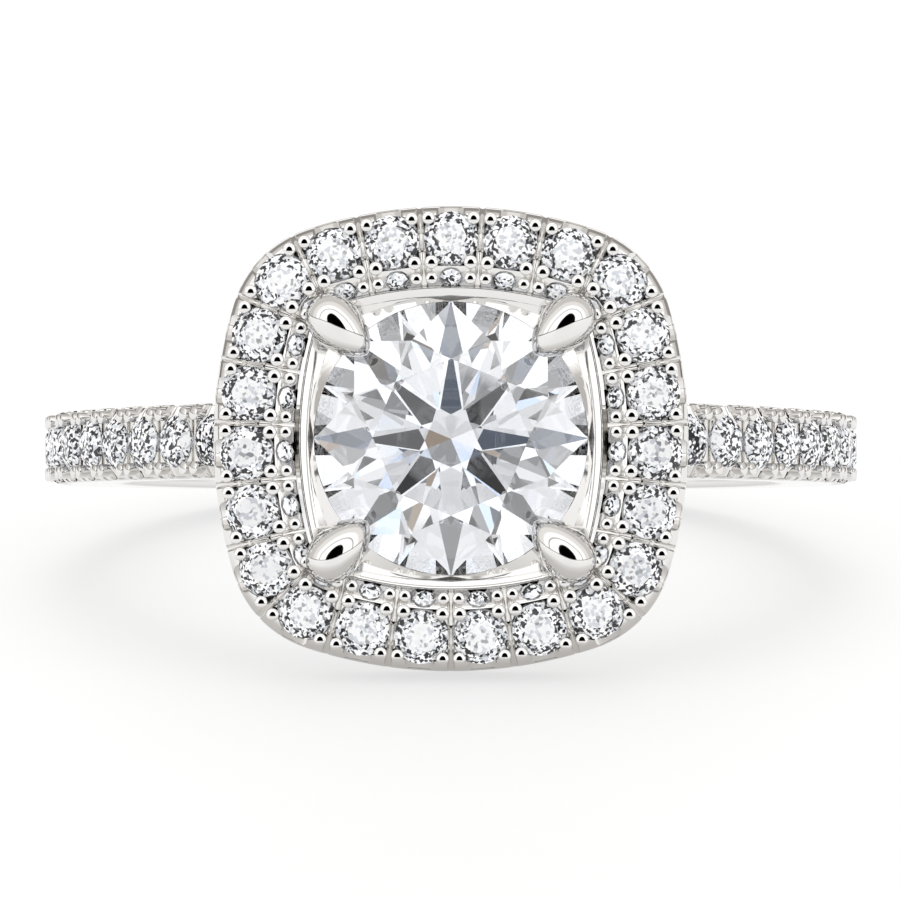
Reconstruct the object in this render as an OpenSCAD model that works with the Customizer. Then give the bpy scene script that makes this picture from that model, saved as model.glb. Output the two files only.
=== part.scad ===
// Halo ring: a round centre stone in a cushion-shaped halo, on a band with stone-set cathedral shoulders.
// Lengths are millimetres. The ring lies on its side, as it rests on a table: the lower edge of the halo and
// the back of the band touch the surface, and the head points to -Y.
// The metal is modelled in the jeweller's frame: the finger hole runs along Y and the head points to +Z.

/* [Band] */
// Inside diameter of the finger hole
bore_d = 17; // [15:0.1:20]
// Width of the band along the finger
band_w = 1.8; // [1.7:0.05:2.4]
// Thickness of the round part of the band
band_t = 1.75; // [1.5:0.05:2.2]
// Bevel along the outer edges of the band
band_edge = 0.2; // [0.05:0.01:0.3]

/* [Shoulders] */
// Angle from the head at which the shoulders leave the round band
shoulder_angle = 70; // [64:1:76]
// Distance of a shoulder's outer face inside the halo's wall where they meet
shoulder_inset = 0.66; // [0.5:0.02:0.8]
// Length of a shoulder's end inside the halo's metal
shoulder_lap = 0.4; // [0.2:0.05:0.6]
// Thickness of a shoulder beside the head
shoulder_t = 1.3; // [1.1:0.05:1.5]
// Distance of the first shoulder stone's middle outside the halo's wall
first_stone_out = 0.1; // [0.08:0.02:0.4]
// Stones on each shoulder
side_stones = 9; // [5:1:10]
// Diameter of a shoulder stone
side_stone_d = 1.28; // [1:0.01:1.35]
// Space between two shoulder stones
side_stone_gap = 0.13; // [0.12:0.01:0.3]
// Thickness of the band that runs on under the head
bridge_t = 1.2; // [1:0.05:1.4]

/* [Halo] */
// Space between the halo and the rail at the shoulders' sides
halo_gap = 0.1; // [0.05:0.01:0.3]
// Depth of the joint between the halo and the rail at the other two sides
halo_joint = 0.02; // [0.01:0.01:0.05]
// Radius of the halo's bulging sides
halo_side_r = 11; // [9:0.1:14]
// Radius of the halo's corners
halo_corner_r = 2.7; // [2.5:0.05:3.2]
// Height of the halo stones' girdles above the centre stone's
halo_lift = 0.3; // [0.2:0.05:0.5]
// Thickness of the halo frame
halo_t = 1.5; // [1.2:0.05:1.6]
// Bevel from the halo's outer wall to its top
halo_edge = 0.16; // [0.08:0.01:0.2]
// Diameter of a halo stone
halo_stone_d = 1.3; // [1.1:0.01:1.4]
// Least space between two halo stones
halo_stone_gap = 0.1; // [0.08:0.01:0.2]
// Metal left between a halo stone and the outer wall
outer_rim = 0.14; // [0.1:0.01:0.2]
// Outward lean of the halo stones
halo_lean = 10; // [4:1:14]
// Metal left between a halo stone and the crest of the inner wall
crest_rim = 0.05; // [0.03:0.01:0.08]
// Plan width of the sloping inner wall
inner_wall_w = 0.44; // [0.42:0.01:0.5]
// Slope of the inner wall
inner_slope = 45; // [38:1:50]
// Metal left above and below a small stone in the inner wall
inner_rim = 0.06; // [0.05:0.01:0.1]

/* [Grain setting] */
// Diameter of a bead that holds a halo or shoulder stone
bead_d = 0.3; // [0.24:0.01:0.32]
// Diameter of a bead that holds a small inner stone
small_bead_d = 0.23; // [0.18:0.01:0.25]
// Distance of a bead from the groove between two stones
bead_side = 0.2; // [0.18:0.01:0.22]
// Distance of a small bead from the groove between two stones
small_bead_side = 0.17; // [0.15:0.01:0.2]
// Height of a bead's centre above the stones' girdles
bead_lift = 0.04; // [0.02:0.01:0.08]
// Width of the groove between two stones
groove_w = 0.12; // [0.08:0.01:0.16]
// Depth of the groove between two stones
groove_depth = 0.22; // [0.12:0.01:0.25]
// Length of a halo groove down the outer wall
groove_reach = 0.82; // [0.6:0.02:1]
// Length of a shoulder groove down the band's sides
side_groove_reach = 0.45; // [0.3:0.05:0.6]
// Width of the scallop cut into a wall below each stone
scallop_w = 0.76; // [0.6:0.02:0.8]
// Depth of a halo scallop down the wall
scallop_h = 0.7; // [0.6:0.02:0.8]
// Depth of a shoulder scallop down the wall
side_scallop_h = 0.6; // [0.5:0.02:0.7]
// Distance that a scallop runs in past its stone's edge
scallop_in = 0.2; // [0.1:0.05:0.3]

/* [Centre stone] */
// Diameter of the centre stone
centre_d = 6.5; // [6.2:0.05:6.6]
// Height of the centre stone's point above the finger hole
culet_clearance = 0.31; // [0.2:0.01:0.6]
// Width of a stone's table as a share of its diameter
table_share = 0.57; // [0.53:0.01:0.62]
// Slope of a stone's crown
crown_slope = 34.5; // [32:0.5:36]
// Slope of a stone's pavilion
pavilion_slope = 40.8; // [40:0.2:41.4]
// Thickness of a stone's girdle as a share of its diameter
girdle_share = 0.026; // [0.02:0.002:0.04]
// Space between a stone and the metal round it
stone_gap = 0.03; // [0.02:0.005:0.05]

/* [Basket] */
// Distance that the cushion-shaped rail reaches out past the centre stone
rail_reach = 0.38; // [0.3:0.02:0.5]
// Radius of the rail's bulging sides
rail_side_r = 9.5; // [8:0.1:11]
// Radius of the rail's corners
rail_corner_r = 1; // [0.8:0.05:1.6]
// Width of the rim on the rail
rail_rim = 0.18; // [0.14:0.01:0.22]
// Height of the rim on the rail
rail_rim_h = 0.22; // [0.15:0.01:0.3]
// Thickness of the rail below its rim
rail_t = 0.55; // [0.4:0.05:0.7]
// Height of the rail's top under the centre stone's girdle
rail_drop = 0.1; // [0.08:0.01:0.2]
// Width of a claw's head
claw_w = 1.15; // [1:0.01:1.2]
// Length of a claw's tip over the centre stone
claw_grip = 0.42; // [0.35:0.01:0.5]
// Length of a claw's broad end on the halo's inner wall
claw_joint = 0.21; // [0.1:0.01:0.3]
// Height of a claw's middle above the centre stone's girdle
claw_lift = 0.5; // [0.4:0.01:0.6]
// Share of a claw's length from its tip to its widest place
claw_belly = 0.64; // [0.55:0.01:0.7]
// Diameter of a claw's post
post_d = 0.8; // [0.7:0.02:0.86]
// Outside diameter of the ring that carries the posts
foot_ring_d = 4.4; // [4:0.1:4.8]
// Wall of the ring that carries the posts
foot_ring_wall = 1; // [0.95:0.05:1.1]
// Thickness of the ring that carries the posts
foot_ring_t = 0.95; // [0.8:0.05:1]
// Height of that ring's top above the bridge
foot_ring_rise = 0.1; // [0.05:0.01:0.2]
// Diameter of the hole under the centre stone's point
culet_hole_d = 1.1; // [0.8:0.05:1.4]

/* [Hidden] */

$fn = 48;
seat_sides = 12;
inner_seat_sides = 8;
bead_sides = 24;
metal = [0.86, 0.86, 0.85];
diamond = [0.90, 0.94, 0.98];
mm_per_degree = PI / 180;

bore_r = bore_d / 2;
band_r = bore_r + band_t;
bridge_r = bore_r + bridge_t;

// Heights of a cut stone from the middle of its girdle
function girdle(d) = girdle_share * d / 2;
function table_r(d) = table_share * d / 2;
function table_z(d) = girdle(d) + (d / 2 - table_r(d)) * tan(crown_slope);
function culet_z(d) = -girdle(d) - d / 2 * tan(pavilion_slope);

// The lower pavilion facets reach down to points that stand out a little from a cone on the girdle. A seat's
// cone touches them.
lower_facet_share = 0.76;
function lower_r(d) = (1 - lower_facet_share) * d / 2;
function lower_z(d) = culet_z(d) + lower_r(d) * cos(22.5) * tan(pavilion_slope);
function seat_tip_z(d) =
    lower_z(d) - lower_r(d) * (-girdle(d) - lower_z(d)) / (d / 2 - lower_r(d)) - stone_gap;

// The halo is built outward from the centre stone, and upward from the finger hole.
centre_z = bore_r + culet_clearance - culet_z(centre_d);
halo_z = centre_z + halo_lift;
halo_base = halo_z - halo_t;
rail_w = centre_d + 2 * rail_reach;
row_inset = halo_stone_d / 2 + outer_rim;
crest_u = halo_stone_d / 2 + crest_rim;
foot_u = crest_u + inner_wall_w;
halo_w = rail_w + 2 * (halo_gap + foot_u + row_inset);
halo_h = rail_w + 2 * (foot_u + row_inset - halo_joint);

// The ring rests on the halo's lower back edge and on the lower edge of the band's back.
rest_tilt = atan2((halo_h - band_w) / 2, halo_base + band_r - band_edge);
rest_lift = band_w / 2 * cos(rest_tilt) + (band_r - band_edge) * sin(rest_tilt);
front_reach = halo_z * cos(rest_tilt) + (halo_h / 2 - halo_edge) * sin(rest_tilt);
back_reach = band_r * cos(rest_tilt) + (band_w / 2 - band_edge) * sin(rest_tilt);

// Cushion outline: four bulging side arcs and four corner arcs that meet without a kink. A place on it is
// given by its bearing, which is the direction that its wall faces, in degrees clockwise from +Y.
function cushion(w, h, side_r, corner_r) =
    let (
        p = side_r - w / 2,
        q = side_r - h / 2,
        span = norm([p, q]),
        reach = sqrt(pow(side_r - corner_r, 2) - span * span / 4),
        c = [-p / 2 + reach * q / span, -q / 2 + reach * p / span]
    )
    [p, q, side_r, corner_r, c, atan2(c.x, c.y + q), 90 - atan2(c.y, c.x + p)];

// A place in the first quarter, at an inset from the outline
function cushion_quarter(c, t, inset) =
    t < c[5] ? [0, -c[1]] + (c[2] - inset) * [sin(t), cos(t)]
    : t < c[6] ? c[4] + (c[3] - inset) * [sin(t), cos(t)]
    : [-c[0], 0] + (c[2] - inset) * [sin(t), cos(t)];

// Bearing of the same place in the first quarter, and the signs that mirror it back
function folded(t) = t < 90 ? t : t < 180 ? 180 - t : t < 270 ? t - 180 : 360 - t;
function quarter_signs(t) = [t < 180 ? 1 : -1, t < 90 || t > 270 ? 1 : -1];

function cushion_point(c, t, inset) =
    let (q = cushion_quarter(c, folded(t), inset), s = quarter_signs(t))
    [q.x * s.x, q.y * s.y];

// Lengths of the three arcs of a quarter at an inset, added up
function arc_ends(c, inset) =
    let (
        a = (c[2] - inset) * c[5] * mm_per_degree,
        b = a + (c[3] - inset) * (c[6] - c[5]) * mm_per_degree
    )
    [a, b, b + (c[2] - inset) * (90 - c[6]) * mm_per_degree];

// Bearing of the place that lies a length along the outline from the top
function bearing_at(c, inset, length) =
    let (
        e = arc_ends(c, inset),
        turn = floor(length / e[2]),
        along = length - turn * e[2],
        s = turn % 2 == 0 ? along : e[2] - along,
        t = s < e[0] ? s / e[0] * c[5]
            : s < e[1] ? c[5] + (s - e[0]) / (e[1] - e[0]) * (c[6] - c[5])
            : c[6] + (s - e[1]) / (e[2] - e[1]) * (90 - c[6])
    )
    turn == 0 ? t : turn == 1 ? 180 - t : turn == 2 ? 180 + t : 360 - t;

halo = cushion(halo_w, halo_h, halo_side_r, halo_corner_r);
rail = cushion(rail_w, rail_w, rail_side_r, rail_corner_r);
row_length = 4 * arc_ends(halo, row_inset)[2];
halo_stones = floor(row_length / (halo_stone_d + halo_stone_gap));
row_pitch = row_length / halo_stones;

// Section of the halo frame: u runs outward from the stone row, z up from the stones' girdles
rim_u = row_inset - halo_edge;
rim_z = -rim_u * tan(halo_lean);
bevel_slope = 58;
crest_z = crest_u * tan(halo_lean);
foot_z = crest_z - inner_wall_w * tan(inner_slope);
halo_section = [
    [row_inset, -halo_t],
    [row_inset, rim_z - halo_edge * tan(bevel_slope)],
    [rim_u, rim_z],
    [-crest_u, crest_z],
    [-foot_u, foot_z],
    [-foot_u, -halo_t]
];
stations_per_stone = 2;
inner_stone_d = inner_wall_w / cos(inner_slope) - 2 * inner_rim;
inner_stone_u = crest_u + inner_wall_w / 2;
inner_stone_z = (crest_z + foot_z) / 2;

// Each shoulder's outer face is one large arc that leaves the round band without a kink. A place on the band
// or a shoulder is given by the direction that it faces, in degrees from the head.
function facing(a) = [sin(a), cos(a)];
shoulder_top = [halo_w / 2 - shoulder_inset, halo_base];
shoulder_back = (shoulder_top * shoulder_top - band_r * band_r)
    / (2 * (band_r - shoulder_top * facing(shoulder_angle)));
shoulder_centre = -shoulder_back * facing(shoulder_angle);
shoulder_r = band_r + shoulder_back;
shoulder_end = atan2(shoulder_top.x - shoulder_centre.x, shoulder_top.y - shoulder_centre.y)
    - shoulder_lap / shoulder_r / mm_per_degree;
first_stone_facing = asin((halo_w / 2 + first_stone_out - shoulder_centre.x) / shoulder_r);
band_steps = 160;
bore_stock = 0.3;
function shoulder_point(a) =
    a < shoulder_angle ? shoulder_centre + shoulder_r * facing(a) : band_r * facing(a);

// Direction faced by the place that lies a number of stone pitches down from the first stone
side_pitch = side_stone_d + side_stone_gap;
shoulder_run = shoulder_r * (shoulder_angle - first_stone_facing) * mm_per_degree;
function side_facing(place) =
    let (left = shoulder_run - place * side_pitch)
    shoulder_angle - left / (left > 0 ? shoulder_r : band_r) / mm_per_degree;

// Each claw lies from the centre stone's crown to the halo's inner wall, over a post on the foot ring.
claw_angles = [45, 135, 225, 315];
claw_z = centre_z + claw_lift;
claw_tip = centre_d / 2 - claw_grip;
claw_l = norm(cushion_point(halo, claw_angles[0], row_inset + foot_u)) + claw_joint - claw_tip;
foot_ring_z = bridge_r + foot_ring_rise - foot_ring_t;
post_top = [claw_tip + claw_l * claw_belly, claw_z];
post_foot = [(foot_ring_d - foot_ring_wall) / 2, foot_ring_z + foot_ring_t / 2];

// How far a cutting body reaches out past the metal, and how far its corners keep off a face they follow
clear = 0.5;
off_face = 0.02;

// Section of a bead in radii, and the places of the beads' middles in diameters from the edge beside them
bead_section = [[0, -1.2], [1, -1.2], [1, 0.3], [0.6, 1], [0, 1]];
rim_bead_in = 0.45;
crest_bead_in = 0.25;
side_bead_in = 0.35;

// Corners of a ring of points, turned by a share of a step
function ring_points(n, r, z, turn) =
    [for (i = [0:n - 1]) let (a = (i + turn) * 360 / n) [r * cos(a), r * sin(a), z]];

// Round brilliant cut with 57 facets, its girdle's middle at the origin and its table up
module brilliant(d) {
    r = d / 2;
    g = girdle(d);
    star_r = (table_r(d) * cos(22.5) + r) / 2;
    star_z = table_z(d) - (star_r * cos(22.5) - table_r(d)) * (table_z(d) - g) / (r - table_r(d));
    points = concat(
        ring_points(8, table_r(d), table_z(d), 0),
        ring_points(8, star_r, star_z, 0.5),
        ring_points(16, r, g, 0),
        ring_points(16, r, -g, 0),
        ring_points(8, lower_r(d), lower_z(d), 0.5),
        [[0, 0, culet_z(d)]]
    );
    star = 8;
    upper = 16;
    lower = 32;
    half = 48;
    culet = 56;
    faces = concat(
        [[for (i = [7:-1:0]) i]],
        [for (i = [0:7]) [i, (i + 1) % 8, star + i]],
        [for (i = [0:7]) [i, star + i, upper + 2 * i, star + (i + 7) % 8]],
        [for (i = [0:7]) [star + i, upper + 2 * i + 1, upper + 2 * i]],
        [for (i = [0:7]) [star + i, upper + (2 * i + 2) % 16, upper + 2 * i + 1]],
        [for (i = [0:15]) [upper + i, upper + (i + 1) % 16, lower + (i + 1) % 16, lower + i]],
        [for (i = [0:7]) [lower + 2 * i, lower + 2 * i + 1, half + i]],
        [for (i = [0:7]) [lower + 2 * i + 1, lower + (2 * i + 2) % 16, half + i]],
        [for (i = [0:7]) [lower + 2 * i, half + i, culet, half + (i + 7) % 8]]
    );
    polyhedron(points, faces);
}

// Single cut with 17 facets, for the smallest stones
module single_cut(d) {
    points = concat(
        ring_points(8, table_r(d), table_z(d), 0),
        ring_points(8, d / 2, girdle(d), 0),
        ring_points(8, d / 2, -girdle(d), 0),
        [[0, 0, culet_z(d)]]
    );
    faces = concat(
        [[for (i = [7:-1:0]) i]],
        [for (i = [0:7]) [i, (i + 1) % 8, 8 + (i + 1) % 8, 8 + i]],
        [for (i = [0:7]) [8 + i, 8 + (i + 1) % 8, 16 + (i + 1) % 8, 16 + i]],
        [for (i = [0:7]) [16 + i, 16 + (i + 1) % 8, 24]]
    );
    polyhedron(points, faces);
}

// The room that a stone takes up with the gap round it, with flat sides round the stone
module seat(d, sides = seat_sides) {
    out = 1 / cos(180 / sides);
    rotate([0, 0, 180 / sides])
        rotate_extrude($fn = sides)
            polygon([
                [0, seat_tip_z(d)],
                [(d / 2 + stone_gap) * out, -girdle(d) - stone_gap],
                [(d / 2 + stone_gap) * out, girdle(d) + stone_gap],
                [(table_r(d) + stone_gap) * out, table_z(d) + stone_gap],
                [0, table_z(d) + stone_gap]
            ]);
}

// Places a child at a length along the halo's stone row: X points outward, Z up
module on_row(length) {
    t = bearing_at(halo, row_inset, length);
    p = cushion_point(halo, t, row_inset);
    translate([p.x, p.y, halo_z])
        rotate([0, 0, 90 - t])
            children();
}

module halo_stone_place(i) {
    on_row((i - 1) * row_pitch)
        rotate([0, halo_lean, 0])
            children();
}

module inner_stone_place(i) {
    on_row((i - 1) * row_pitch)
        translate([-inner_stone_u, 0, inner_stone_z])
            rotate([0, -inner_slope, 0])
                children();
}

// Whether a small stone lies beside a claw or under it
function beside_claw(i) =
    let (
        t = bearing_at(halo, row_inset, (i - 1) * row_pitch),
        p = cushion_point(halo, t, row_inset + inner_stone_u)
    )
    abs(abs(p.x) - abs(p.y)) < claw_w;

// Places a child on the right shoulder, place 0 being the first stone: Z points out of the band, X down it
module on_shoulder(place) {
    a = side_facing(place);
    p = shoulder_point(a);
    translate([p.x, 0, p.y])
        rotate([0, a, 0])
            children();
}

// Mirrors a child onto the left shoulder as well
module both_sides() {
    children();
    mirror([1, 0, 0]) children();
}

// The halo's section swept along the cushion
module halo_frame() {
    steps = halo_stones * stations_per_stone;
    n = len(halo_section);
    points = [
        for (j = [0:steps - 1], p = halo_section)
            let (t = bearing_at(halo, row_inset, j * row_pitch / stations_per_stone))
            concat(cushion_point(halo, t, row_inset - p.x), halo_z + p.y)
    ];
    faces = [
        for (j = [0:steps - 1], k = [0:n - 1])
            let (j2 = (j + 1) % steps, k2 = (k + 1) % n)
            [j * n + k, j2 * n + k, j2 * n + k2, j * n + k2]
    ];
    polyhedron(points, faces);
}

// The band's section swept from one shoulder round the back to the other, and the bridge between them. The
// section's columns are a share of the thickness, a depth added to it, and the place along the finger.
module band() {
    section = [
        [0, 0, -band_w / 2 + band_edge],
        [0, band_edge, -band_w / 2],
        [1, 0, -band_w / 2],
        [1, 0, band_w / 2],
        [0, band_edge, band_w / 2],
        [0, 0, band_w / 2 - band_edge]
    ];
    n = len(section);
    points = [
        for (j = [0:band_steps])
            let (
                a = shoulder_end + (360 - 2 * shoulder_end) * j / band_steps,
                side = a < 180 ? 1 : -1,
                f = a < 180 ? a : 360 - a,
                thick = f < shoulder_angle ? shoulder_t : band_t + bore_stock,
                p = shoulder_point(f)
            )
            for (q = section)
                let (depth = q[0] * thick + q[1])
                [side * (p.x - depth * sin(f)), q[2], p.y - depth * cos(f)]
    ];
    faces = concat(
        [[for (k = [0:n - 1]) k]],
        [for (j = [0:band_steps - 1], k = [0:n - 1])
            let (k2 = (k + 1) % n)
            [j * n + k, j * n + n + k, j * n + n + k2, j * n + k2]],
        [[for (k = [n - 1:-1:0]) band_steps * n + k]]
    );
    polyhedron(points, faces);
    rotate([90, 0, 0])
        rotate([0, 0, 90 - shoulder_angle])
            rotate_extrude(angle = 2 * shoulder_angle, $fn = 180)
                translate([bore_r - bore_stock, -band_w / 2])
                    square([bridge_t + bore_stock, band_w]);
}

module cushion_plate(c, inset, thick) {
    steps = 72;
    linear_extrude(thick)
        polygon([for (j = [0:steps - 1]) cushion_point(c, (j + 0.5) * 360 / steps, inset)]);
}

// The polished rail that the centre stone sits in, with a raised rim
module centre_rail() {
    top = centre_z - rail_drop;
    translate([0, 0, top - rail_rim_h - rail_t])
        cushion_plate(rail, 0, rail_t);
    difference() {
        translate([0, 0, top - rail_rim_h - rail_t / 2])
            cushion_plate(rail, 0, rail_rim_h + rail_t / 2);
        translate([0, 0, top - rail_rim_h])
            cushion_plate(rail, rail_rim, rail_rim_h + clear);
    }
}

// Half width of a claw's head at a share of its length from the tip: an egg, a little sharper at its tip
function claw_r(u) =
    u < claw_belly
        ? claw_w / 2 * pow(1 - pow(1 - u / claw_belly, 2), 0.8)
        : claw_w / 2 * sqrt(1 - pow((u - claw_belly) / (1 - claw_belly), 2));

module claw_head() {
    steps = 14;
    rotate([0, 90, 0])
        rotate_extrude()
            polygon(concat(
                [[0, 0]],
                [for (i = [1:steps - 1]) let (u = (1 - cos(i * 180 / steps)) / 2) [claw_r(u), u * claw_l]],
                [[0, claw_l]]
            ));
}

module claw() {
    lean = atan2(post_top.x - post_foot.x, post_top.y - post_foot.y);
    translate([claw_tip, 0, claw_z])
        claw_head();
    translate([post_foot.x, 0, post_foot.y])
        rotate([0, lean, 0])
            cylinder(d = post_d, h = norm(post_top - post_foot));
}

// The ring that carries the posts, on the bridge
module foot_ring() {
    translate([0, 0, foot_ring_z])
        difference() {
            cylinder(d = foot_ring_d, h = foot_ring_t);
            translate([0, 0, -clear])
                cylinder(d = foot_ring_d - 2 * foot_ring_wall, h = foot_ring_t + 2 * clear);
        }
}

// A bead raised from the metal, with a rounded top
module bead(d) {
    rotate_extrude($fn = bead_sides)
        polygon(bead_section * d / 2);
}

// Bead pairs on both sides of one groove of the halo: outer, crest and lower
module halo_beads() {
    for (side = [-1, 1]) {
        for (u = [rim_u - bead_d * rim_bead_in, bead_d * crest_bead_in - halo_stone_d / 2])
            translate([u, side * bead_side, -u * tan(halo_lean) + bead_lift])
                bead(bead_d);
        translate([-inner_stone_u, side * small_bead_side, inner_stone_z])
            rotate([0, -inner_slope, 0])
                translate([0, 0, bead_lift / 2])
                    bead(small_bead_d);
    }
}

// The groove between two halo stones, over the wall, the top and the inner slope
module halo_groove() {
    top = crest_z + clear;
    rotate([90, 0, 0])
        linear_extrude(groove_w, center = true)
            polygon([
                [row_inset + off_face, -groove_reach],
                [rim_u - groove_depth / 2, rim_z - groove_depth],
                [-crest_u + groove_depth / 2, crest_z - groove_depth],
                [-foot_u - off_face, foot_z - groove_depth / 3],
                [-foot_u - clear, foot_z - groove_depth / 3],
                [-foot_u - clear, top],
                [row_inset + clear, top],
                [row_inset + clear, -groove_reach]
            ]);
}

// U-shaped cutter for the walls below a stone: X points out of the wall, Z up
module scallop(depth, height) {
    r = scallop_w / 2;
    steps = 8;
    translate([-depth, 0, 0])
        rotate([90, 0, 90])
            linear_extrude(depth + clear)
                polygon(concat(
                    [[-r, clear]],
                    [for (i = [0:steps]) [-r * cos(i * 180 / steps), r - height - r * sin(i * 180 / steps)]],
                    [[r, clear]]
                ));
}

// Bead pairs on both edges of the shoulder between two stones
module shoulder_beads() {
    across = (band_w / 2 + side_stone_d / 2) / 2 - bead_d * side_bead_in;
    for (side = [-1, 1], edge = [-1, 1])
        translate([side * bead_side, edge * across, bead_lift])
            bead(bead_d);
}

// The groove across the shoulder between two stones
module shoulder_groove() {
    half = band_w / 2;
    rotate([0, 0, 90])
        rotate([90, 0, 0])
            linear_extrude(groove_w, center = true)
                polygon([
                    [-half - clear, clear],
                    [-half - clear, -side_groove_reach],
                    [-half - off_face, -side_groove_reach],
                    [-half + groove_depth, -groove_depth],
                    [half - groove_depth, -groove_depth],
                    [half + off_face, -side_groove_reach],
                    [half + clear, -side_groove_reach],
                    [half + clear, clear]
                ]);
}

// Cuts the second child out of the first once for each count, in two turns because neighbours almost touch
module cut_in_turns(count) {
    difference() {
        difference() {
            children(0);
            for ($i = [1:2:count])
                children(1);
        }
        for ($i = [2:2:count])
            children(1);
    }
}

// The halo with its beads, grooves and scallops, and a seat for every stone
module halo_metal() {
    cut_in_turns(halo_stones) {
        difference() {
            union() {
                halo_frame();
                for (i = [1:halo_stones])
                    on_row((i - 0.5) * row_pitch)
                        halo_beads();
            }
            for (i = [1:halo_stones])
                on_row((i - 1) * row_pitch)
                    translate([row_inset, 0, 0])
                        scallop(outer_rim + scallop_in, scallop_h);
            for (i = [1:halo_stones])
                on_row((i - 0.5) * row_pitch)
                    halo_groove();
        }
        union() {
            halo_stone_place($i) seat(halo_stone_d);
            inner_stone_place($i % halo_stones + 1) seat(inner_stone_d, inner_seat_sides);
        }
    }
}

// The band and its shoulders with their beads, grooves and scallops, a seat for every shoulder stone, and a
// countersunk hole in the bridge under the centre stone's point
module band_metal() {
    cut_in_turns(side_stones) {
        difference() {
            union() {
                band();
                for (i = [1:side_stones])
                    both_sides()
                        on_shoulder(i - 0.5)
                            shoulder_beads();
            }
            rotate([90, 0, 0])
                cylinder(r = bore_r, h = band_w + 2 * clear, center = true, $fn = 160);
            translate([0, 0, bore_r - clear])
                cylinder(d = culet_hole_d, h = bridge_t + 2 * clear);
            translate([0, 0, centre_z])
                seat(centre_d);
            for (i = [1:side_stones], turn = [90, 270])
                both_sides()
                    on_shoulder(i - 1)
                        rotate([0, 0, turn])
                            translate([band_w / 2, 0, 0])
                                scallop((band_w - side_stone_d) / 2 + scallop_in, side_scallop_h);
            for (i = [1:side_stones])
                both_sides()
                    on_shoulder(i - 0.5)
                        shoulder_groove();
        }
        both_sides() on_shoulder($i - 1) seat(side_stone_d);
    }
}

// The rail, claws and foot ring that hold the centre stone, clear of the small stones beside the claws
module basket_metal() {
    difference() {
        union() {
            centre_rail();
            foot_ring();
            for (a = claw_angles)
                rotate([0, 0, a])
                    claw();
        }
        translate([0, 0, centre_z])
            seat(centre_d, $fn);
        for (i = [1:halo_stones])
            if (beside_claw(i))
                inner_stone_place(i)
                    seat(inner_stone_d, inner_seat_sides);
    }
}

// Lays the ring down as it rests
module resting() {
    translate([0, (front_reach - back_reach) / 2, rest_lift])
        rotate([90 - rest_tilt, 0, 0])
            children();
}

// Halo, band with its shoulders and basket, soldered into one piece of metal
module setting() {
    color(metal)
        resting() {
            halo_metal();
            band_metal();
            basket_metal();
        }
}

module centre_stone() {
    color(diamond)
        resting()
            translate([0, 0, centre_z])
                brilliant(centre_d);
}

module halo_stone(i) {
    color(diamond)
        resting()
            halo_stone_place(i)
                brilliant(halo_stone_d);
}

// The small stones in the sloping inner wall, one beside each halo stone
module inner_stones() {
    color(diamond)
        resting()
            for (i = [1:halo_stones])
                inner_stone_place(i)
                    single_cut(inner_stone_d);
}

module shoulder_stones_right() {
    color(diamond)
        resting()
            for (i = [0:side_stones - 1])
                on_shoulder(i)
                    brilliant(side_stone_d);
}

module shoulder_stones_left() {
    color(diamond)
        resting()
            mirror([1, 0, 0])
                for (i = [0:side_stones - 1])
                    on_shoulder(i)
                        brilliant(side_stone_d);
}

setting();
centre_stone();
for (i = [1:halo_stones])
    halo_stone(i);
inner_stones();
shoulder_stones_left();
shoulder_stones_right();
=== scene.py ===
import bpy, bmesh, math
from mathutils import Matrix, Vector


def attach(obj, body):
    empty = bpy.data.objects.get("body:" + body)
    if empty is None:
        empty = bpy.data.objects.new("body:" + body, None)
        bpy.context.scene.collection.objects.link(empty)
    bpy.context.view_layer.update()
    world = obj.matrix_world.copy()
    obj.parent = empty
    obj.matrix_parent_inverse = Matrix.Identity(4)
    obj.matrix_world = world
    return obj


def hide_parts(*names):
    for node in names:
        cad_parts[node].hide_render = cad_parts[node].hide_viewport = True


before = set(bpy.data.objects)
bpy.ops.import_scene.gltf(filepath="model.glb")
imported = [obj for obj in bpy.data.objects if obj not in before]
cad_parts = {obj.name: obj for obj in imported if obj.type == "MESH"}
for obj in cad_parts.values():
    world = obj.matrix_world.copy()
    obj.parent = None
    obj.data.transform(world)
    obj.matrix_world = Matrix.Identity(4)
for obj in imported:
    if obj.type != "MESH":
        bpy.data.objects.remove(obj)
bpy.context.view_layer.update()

# Halo frame
# The cushion-shaped halo is one casting of 18 carat white gold, rhodium plated and polished. Its top leans
# outward, its inner wall slopes down to the centre stone, and every stone has a drilled seat. Scallops are
# filed into the outer wall below the stones, and a groove is sawn between each two of them.
halo_w, halo_h = 11.32, 11.08
halo_side_r, halo_corner_r = 11.0, 2.7
halo_z, halo_t = 12.0, 1.5
halo_edge = 0.16
halo_stones = 23
halo_stone_d = 1.3
row_inset = 0.79
halo_lean = math.radians(10)
crest_rim, inner_wall_w = 0.05, 0.44
inner_slope = math.radians(45)
inner_stone_d = 0.502
stone_gap = 0.03
table_share, girdle_share = 0.57, 0.026
crown_slope, pavilion_slope = math.radians(34.5), math.radians(40.8)
lower_facet_share = 0.76

bore_r, band_t, band_w, band_edge = 8.5, 1.75, 1.8, 0.2
band_r = bore_r + band_t


class Signal:
    """A shader socket that is reckoned with like a number."""

    def __init__(self, tree, socket):
        self.tree, self.socket = tree, socket

    def reckon(self, operation, *others):
        return reckoned(self.tree, operation, self, *others)

    def __add__(self, other):
        return self.reckon("ADD", other)

    def __sub__(self, other):
        return self.reckon("SUBTRACT", other)

    def __rsub__(self, other):
        return reckoned(self.tree, "SUBTRACT", other, self)

    def __mul__(self, other):
        return self.reckon("MULTIPLY", other)

    def __truediv__(self, other):
        return self.reckon("DIVIDE", other)

    __radd__, __rmul__ = __add__, __mul__


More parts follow.
